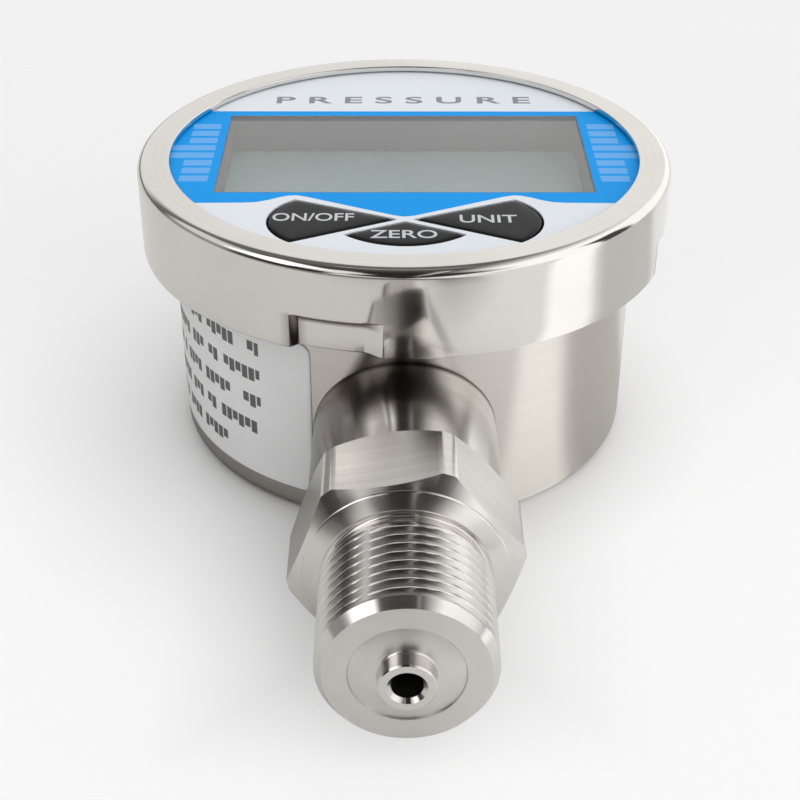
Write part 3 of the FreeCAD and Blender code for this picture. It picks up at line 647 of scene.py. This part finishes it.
hoop_line = np.array([(skirt_out, slit_z + 0.4), (skirt_out, 36.0), (skirt_out, 38.4)]
                     + arc(rim_r, rim_z, rim_round, 0, 90, 13) + [(34.0, bezel_top)]
                     + arc(lip_r + lip_round, bezel_top - lip_round, lip_round, 90, 180, 5)
                     + arc(lip_r + lip_round, lip_low + lip_round, lip_round, 180, 270, 5)
                     + arc(rim_r, rim_z, rim_round - sheet, 90, 0, 6)
                     + [(skirt_in, 36.0), (skirt_in, slit_z)])
band_line = np.array([(skirt_in, slit_z), (skirt_in, skirt_low + low_in_round),
                      (skirt_in + low_in_round, skirt_low)]
                     + arc(skirt_out - low_out_round, skirt_low + low_out_round, low_out_round, -90, 0, 6)
                     + [(skirt_out, z) for z in (30.5, slit_shade_low, slit_shade_high, slit_z)])
sheared = sheared_edge * depth / push
bend = np.radians(np.linspace(-90.0, 0.0, 5))[:, None]
hoop_r = np.concatenate([skirt_out - sheared * (1 - np.cos(bend)), hoop_line[:, :1] + 0 * depth])
hoop_z = np.concatenate([slit_z + sheared * (1 + np.sin(bend)), hoop_line[:, 1:] + 0 * depth])
ring_r = np.concatenate([hoop_r, band_line[:, :1] - depth])
ring_z = np.concatenate([hoop_z, band_line[:, 1:] + 0 * depth])
ring_points = np.stack([ring_r * np.cos(bearing), ring_r * np.sin(bearing), ring_z], -1)
ring_rows = np.arange(ring_r.size).reshape(ring_r.shape)
hoop, band = ring_rows[:len(hoop_r)], ring_rows[len(hoop_r):]
joined = np.maximum(depth, np.roll(depth, -1)) <= sheet + 1e-9
ring_faces = np.concatenate([
    cells(hoop).reshape(-1, 4), cells(band).reshape(-1, 4),
    cells(np.stack([band[-1], hoop[0]]))[0][joined], cells(np.stack([hoop[-1], band[0]]))[0][joined],
    cells(np.stack([hoop[-1], hoop[0]]))[0][~joined], cells(np.stack([band[-1], band[0]]))[0][~joined]])
# Painted shade: dark along each slit, under the edge above its lance, and in the bend where the lance begins
past_bend = (quarter + 45.0) % 90.0 - 45.0 - entry / 2
in_bend = np.tile(np.exp(-(past_bend / 1.5) ** 2), 4)
under_slit = np.interp(ring_z, [slit_shade_low, slit_shade_high], [0.0, 1.0]) * (depth / push)
outside = (ring_r >= skirt_out - push - 0.001) & (ring_z <= slit_z + 0.001)
painted_slit_shade = np.maximum(under_slit, 0.55 * in_bend) * outside
bezel = build("bezel", ring_points, ring_faces, shares={"painted_slit_shade": painted_slit_shade})

polished_steel, tree, shader, spot = new_finish("polished_steel")
thumbed = group_in(tree, smears, {"Scale": 55.0}, {"Vector": spot})
ripple = place(tree, "ShaderNodeTexNoise", {"Scale": 110.0, "Detail": 2.0}, {"Vector": spot})
across = place(tree, "ShaderNodeSeparateXYZ", links={"Vector": spot})
passed = sum_of(tree, "SUBTRACT", across.outputs["Z"], off_axis(tree, spot))
rolled = group_in(tree, marks, {"Pitch": 0.0005, "Waver": 1.4}, {"Station": passed, "Vector": spot})
handled = sum_of(tree, "MULTIPLY_ADD", rolled["Height"], 0.5, sum_of(tree, "MULTIPLY", thumbed["Mask"], 0.6))
buffed = tinted(tree, handled, (0.76, 0.745, 0.72), (0.685, 0.668, 0.645))
# The painted shade of the slits and lance bends darkens the buffed steel
slit_shade_fac = place(tree, "ShaderNodeAttribute", attribute_name="painted_slit_shade").outputs["Fac"]
feed(tree, shader, Base_Color=tinted(tree, slit_shade_fac, buffed, (0.13, 0.115, 0.105)))
feed(tree, shader, Roughness=spread(tree, handled, 0.06, 0.16))
bumped(tree, shader, ripple.outputs["Fac"], 0.00003, 0.35)
set_values(shader, Metallic=1.0)
dress(bezel, polished_steel)
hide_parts("bezel_ring")
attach(bezel, "bezel")

# Side label: white coated paper with rounded corners, stuck round the case wall. Lines of plain
# dark blocks, grouped like words, are printed on it.
label_r, label_low, label_high, label_from, label_to, corner = 32.43, 3.8, 26.6, -110.0, -22.0, 1.6
block_step, line_pitch, first_line, line_count = 1.25, 4.15, 5.1, 5
text_from, text_to, last_line_inset = -58.0, -20.4, 7.1
rise = np.concatenate([corner * (1 - np.cos(np.linspace(0, math.pi / 2, 9))),
                       np.linspace(corner, label_high - label_low - corner, 12)[1:-1],
                       label_high - label_low - corner * (1 - np.sin(np.linspace(0, math.pi / 2, 9)))])
edge_gap = np.minimum(rise, rise[-1] - rise)
inset = corner - np.sqrt(np.clip(corner ** 2 - np.clip(corner - edge_gap, 0, None) ** 2, 0, None))
across = np.linspace(0.0, 1.0, 97)
swing = np.radians(label_to - label_from) - 2 * inset / label_r
around = np.radians(label_from - 90.0) + inset[:, None] / label_r + across * swing[:, None]
label_points = np.stack([label_r * np.cos(around), label_r * np.sin(around),
                         np.broadcast_to((label_low + rise)[:, None], around.shape)], -1)
label_rows = np.arange(around.size).reshape(around.shape)
label = build("label", label_points, cells(label_rows)[:, :-1])
weight = label.modifiers.new("paper", "SOLIDIFY")
weight.thickness = 0.00011
weight.offset = -1.0

label_paper, tree, shader, spot = new_finish("label_paper")
fibre = group_in(tree, grain, {"Scale": 1400.0}, {"Vector": spot})
paper = tinted(tree, fibre["Tone"], (0.76, 0.76, 0.76), (0.82, 0.82, 0.82))
wall = place(tree, "ShaderNodeSeparateXYZ", links={"Vector": spot})
turn_by = sum_of(tree, "ARCTAN2", wall.outputs["X"], sum_of(tree, "MULTIPLY", wall.outputs["Y"], -1.0))
along = sum_of(tree, "MULTIPLY", turn_by, label_r / block_step)
line = sum_of(tree, "MULTIPLY_ADD", wall.outputs["Z"], 1000.0, -first_line)
line = sum_of(tree, "DIVIDE", line, line_pitch)
column, row = sum_of(tree, "FLOOR", along, 0.0), sum_of(tree, "FLOOR", line, 0.0)
last_line = sum_of(tree, "LESS_THAN", line, 1.0)
indented = sum_of(tree, "MULTIPLY_ADD", last_line, last_line_inset / block_step, along)
tall = sum_of(tree, "FLOORED_MODULO", sum_of(tree, "MULTIPLY_ADD", column, 2.0, row), 5.0)
tall = sum_of(tree, "LESS_THAN", tall, 2.5)
block_low = sum_of(tree, "MULTIPLY_ADD", tall, -0.13, 0.38)
in_line = sum_of(tree, "FRACT", line, 0.0)
blocks = [sum_of(tree, "GREATER_THAN", in_line, block_low), sum_of(tree, "LESS_THAN", in_line, 0.72),
          between(tree, sum_of(tree, "FRACT", along, 0.0), 0.16, 0.92, 0.08),
          sum_of(tree, "GREATER_THAN", along, text_from / block_step),
          sum_of(tree, "LESS_THAN", indented, text_to / block_step), inside(tree, line, 0.0, line_count)]
for shift, repeat in ((3.0, 7.0), (5.0, 11.0)):
    place_in_row = sum_of(tree, "MULTIPLY_ADD", row, shift, column)
    blocks.append(sum_of(tree, "GREATER_THAN", sum_of(tree, "FLOORED_MODULO", place_in_row, repeat), 0.5))
printed = blocks[0]
for limit in blocks[1:]:
    printed = sum_of(tree, "MULTIPLY", printed, limit)
feed(tree, shader, Base_Color=tinted(tree, printed, paper, (0.11, 0.11, 0.115)))
feed(tree, shader, Roughness=spread(tree, fibre["Height"], 0.45, 0.55))
bumped(tree, shader, fibre["Height"], 0.000004, 0.4)
dress(label, label_paper)
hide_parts("side_label")
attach(label, "gauge_body")

# Studio: a pale paper sweep under the gauge, in a white room lit more from the right. Metal mirrors
# what stands round it: a white backdrop behind, a soft box at each side, a lamp overhead, and the
# dark ceiling and front of the room. Seen in metal, the paper carries painted light and shade: it is
# brighter towards the right-hand box, with a painted highlight glowing in a narrow wedge, and has
# painted shade in a wedge to the right, far in front and by the case's left foot.
bpy.context.scene.view_settings.view_transform = "Standard"
sweep_mesh = bpy.data.meshes.new("sweep")
sweep_mesh.from_pydata([(-3, -3, 0), (3, -3, 0), (3, 3, 0), (-3, 3, 0)], [], [(0, 1, 2, 3)])
sweep = bpy.data.objects.new("sweep", sweep_mesh)
bpy.context.scene.collection.objects.link(sweep)

paper_sweep, tree, shader, spot = new_finish("paper_sweep")
plan = place(tree, "ShaderNodeSeparateXYZ", links={"Vector": spot})
pulp = group_in(tree, grain, {"Scale": 300.0}, {"Vector": spot})
white = tinted(tree, pulp["Tone"], (0.85, 0.85, 0.855), (0.87, 0.87, 0.875))
# Painted light and shade on the paper, seen only in reflections
rightwards = spread(tree, plan.outputs["X"], 0.0, 1.0, -0.01, 0.045)
mirrored = tinted(tree, rightwards, (0.77, 0.752, 0.725), (0.95, 0.945, 0.93))
compass = sum_of(tree, "ARCTAN2", sum_of(tree, "ADD", plan.outputs["Y"], 0.017),
                 sum_of(tree, "ADD", plan.outputs["X"], 0.0196))
compass = sum_of(tree, "MULTIPLY", compass, 180.0 / math.pi)
mirrored = tinted(tree, between(tree, compass, -2.0, 23.0, 5.0), mirrored, (0.66, 0.65, 0.63))
forwards = sum_of(tree, "MULTIPLY", spread(tree, plan.outputs["Y"], 1.0, 0.0, -0.20, -0.10),
                  spread(tree, plan.outputs["X"], 1.0, 0.0, 0.03, 0.07))
front_right = sum_of(tree, "MULTIPLY", spread(tree, plan.outputs["Y"], 1.0, 0.0, -0.13, -0.087),
                     between(tree, plan.outputs["X"], 0.030, 0.052, 0.016))
mirrored = tinted(tree, sum_of(tree, "MAXIMUM", forwards, front_right), mirrored, (0.20, 0.19, 0.18))
from_middle = place(tree, "ShaderNodeVectorMath", links={0: spot}, operation="LENGTH").outputs["Value"]
case_gap = sum_of(tree, "MULTIPLY", sum_of(tree, "SUBTRACT", from_middle, 0.0323),
                  spread(tree, plan.outputs["X"], 0.45, 1.0, -0.015, 0.015))
open_paper = sum_of(tree, "POWER", spread(tree, case_gap, 0.0, 1.0, 0.0, 0.014), 0.6)
shaded = sum_of(tree, "MULTIPLY", spread(tree, open_paper, 1.0, 0.0),
                spread(tree, plan.outputs["X"], 1.0, 0.0, -0.02, 0.0))
mirrored = tinted(tree, shaded, mirrored, (0.30, 0.285, 0.27))
rays = place(tree, "ShaderNodeLightPath").outputs
feed(tree, shader, Base_Color=tinted(tree, rays["Is Glossy Ray"], white, mirrored))
painted_glow = between(tree, compass, -23.0, -9.5, 4.0)
set_values(shader, Roughness=0.7, Emission_Color=(1.0, 0.99, 0.97, 1.0))
painted_glow = sum_of(tree, "MULTIPLY", painted_glow, rays["Is Glossy Ray"])
feed(tree, shader, Emission_Strength=sum_of(tree, "MULTIPLY", painted_glow, 0.4))
bumped(tree, shader, pulp["Height"], 0.000005, 0.5)
# To the camera the paper is lifted towards white, but less near the case and the connector, on the
# left above all, and behind, so that it keeps their shadow
stem_gap = sum_of(tree, "SUBTRACT", sum_of(tree, "ABSOLUTE", plan.outputs["X"], 0.0), 0.012)
stem_gap = sum_of(tree, "MAXIMUM", stem_gap, sum_of(tree, "SUBTRACT", -0.060, plan.outputs["Y"]))
stem_gap = sum_of(tree, "MAXIMUM", stem_gap, sum_of(tree, "ADD", plan.outputs["Y"], 0.030))
open_paper = sum_of(tree, "MULTIPLY", open_paper, spread(tree, stem_gap, 0.45, 1.0, 0.0, 0.018))
lift = sum_of(tree, "MINIMUM", spread(tree, plan.outputs["Y"], 0.72, 0.26, -0.03, 0.05),
              spread(tree, from_middle, 0.72, 0.26, 0.12, 0.5))
lift = sum_of(tree, "MULTIPLY", open_paper, lift)
glowing = place(tree, "ShaderNodeEmission", {"Strength": 1.0})
lifted = place(tree, "ShaderNodeMixShader", links={0: sum_of(tree, "MULTIPLY", rays["Is Camera Ray"], lift),
               1: shader.outputs["BSDF"], 2: glowing.outputs["Emission"]})
tree.links.new(lifted.outputs["Shader"], tree.nodes["Material Output"].inputs["Surface"])
dress(sweep, paper_sweep)

world = bpy.data.worlds.new("studio")
bpy.context.scene.world = world
world.use_nodes = True
world.cycles.sampling_method = "NONE"
sky = world.node_tree
outwards = place(sky, "ShaderNodeTexCoord").outputs["Generated"]
way = place(sky, "ShaderNodeSeparateXYZ", links={"Vector": outwards})
lean = sum_of(sky, "MULTIPLY", sum_of(sky, "ARCTAN2", way.outputs["X"], way.outputs["Z"]), 180.0 / math.pi)
room = spread(sky, way.outputs["Y"], 0.0, 1.0, -0.6, 0.2)
room = tinted(sky, room, (0.028, 0.026, 0.024), (0.17, 0.16, 0.15))
# Each panel: its leans from upright to the right and their soft edge, its shares towards the back
# and their soft edge, and its light
for leans, lean_edge, depths, depth_edge, light in [
        ((-180.0, -46.0), 10.0, (-0.22, 0.36), 0.08, 0.36),    # wall on the left
        ((-66.0, -46.0), 8.0, (-0.22, 0.36), 0.08, 0.85),      # its upper part, nearer to the lamps
        ((-53.0, -27.0), 8.0, (-0.82, -0.60), 0.07, 1.00),     # light stand under the left soft box
        ((-60.0, -38.0), 8.0, (-0.57, -0.18), 0.10, 2.20),     # left soft box
        ((-86.0, -62.0), 12.0, (-1.00, -0.88), 0.05, 0.80),    # window low in front on the left
        ((40.0, 180.0), 24.0, (-0.62, 1.00), 0.16, 1.32),      # right soft box
        ((76.0, 180.0), 26.0, (-1.00, -0.62), 0.05, 1.25),     # its foot
        ((58.0, 180.0), 7.0, (-0.05, 0.22), 0.05, 0.06),       # dark post on the right
        ((-72.0, 12.0), 10.0, (0.76, 1.00), 0.20, 0.95),       # backdrop
        ((8.0, 44.0), 8.0, (0.82, 1.00), 0.12, 1.02),          # its right wing
        ((-12.0, 12.0), 4.0, (0.02, 0.08), 0.02, 0.60),        # tube overhead
        ((12.4, 14.4), 0.8, (-0.92, -0.40), 0.06, 1.0)]:       # slit between the curtains in front
    panel = sum_of(sky, "MULTIPLY", between(sky, lean, *leans, lean_edge),
                   between(sky, way.outputs["Y"], *depths, depth_edge))
    room = tinted(sky, panel, room, (light, light * 0.985, light * 0.96))
rays = place(sky, "ShaderNodeLightPath").outputs
daylight = spread(sky, way.outputs["X"], 0.0, 1.0, -1.0, 1.0)
daylight = tinted(sky, daylight, (0.45, 0.45, 0.45), (1.55, 1.55, 1.55))
daylight = tinted(sky, rays["Is Camera Ray"], daylight, (0.89, 0.89, 0.89))
sky.links.new(tinted(sky, rays["Is Glossy Ray"], daylight, room), sky.nodes["Background"].inputs["Color"])

# Camera: where the photograph was taken from, looking down on the connector's end. Its place and turns
# come from the fit of the part's edges to the photograph.
heading, tilt, roll = -0.00439, math.pi / 2 - 0.56598, 0.00247
lens_data = bpy.data.cameras.new("camera")
lens_data.sensor_width = 36.0
lens_data.lens = 67.89
camera = bpy.data.objects.new("camera", lens_data)
camera.location = (-0.001354, -0.195024, 0.123339)
looking = Matrix.Rotation(heading, 4, "Z") @ Matrix.Rotation(tilt, 4, "X") @ Matrix.Rotation(roll, 4, "Z")
camera.rotation_euler = looking.to_euler()
lens_data.clip_start, lens_data.clip_end = 0.01, 20.0
bpy.context.scene.collection.objects.link(camera)
bpy.context.scene.camera = camera
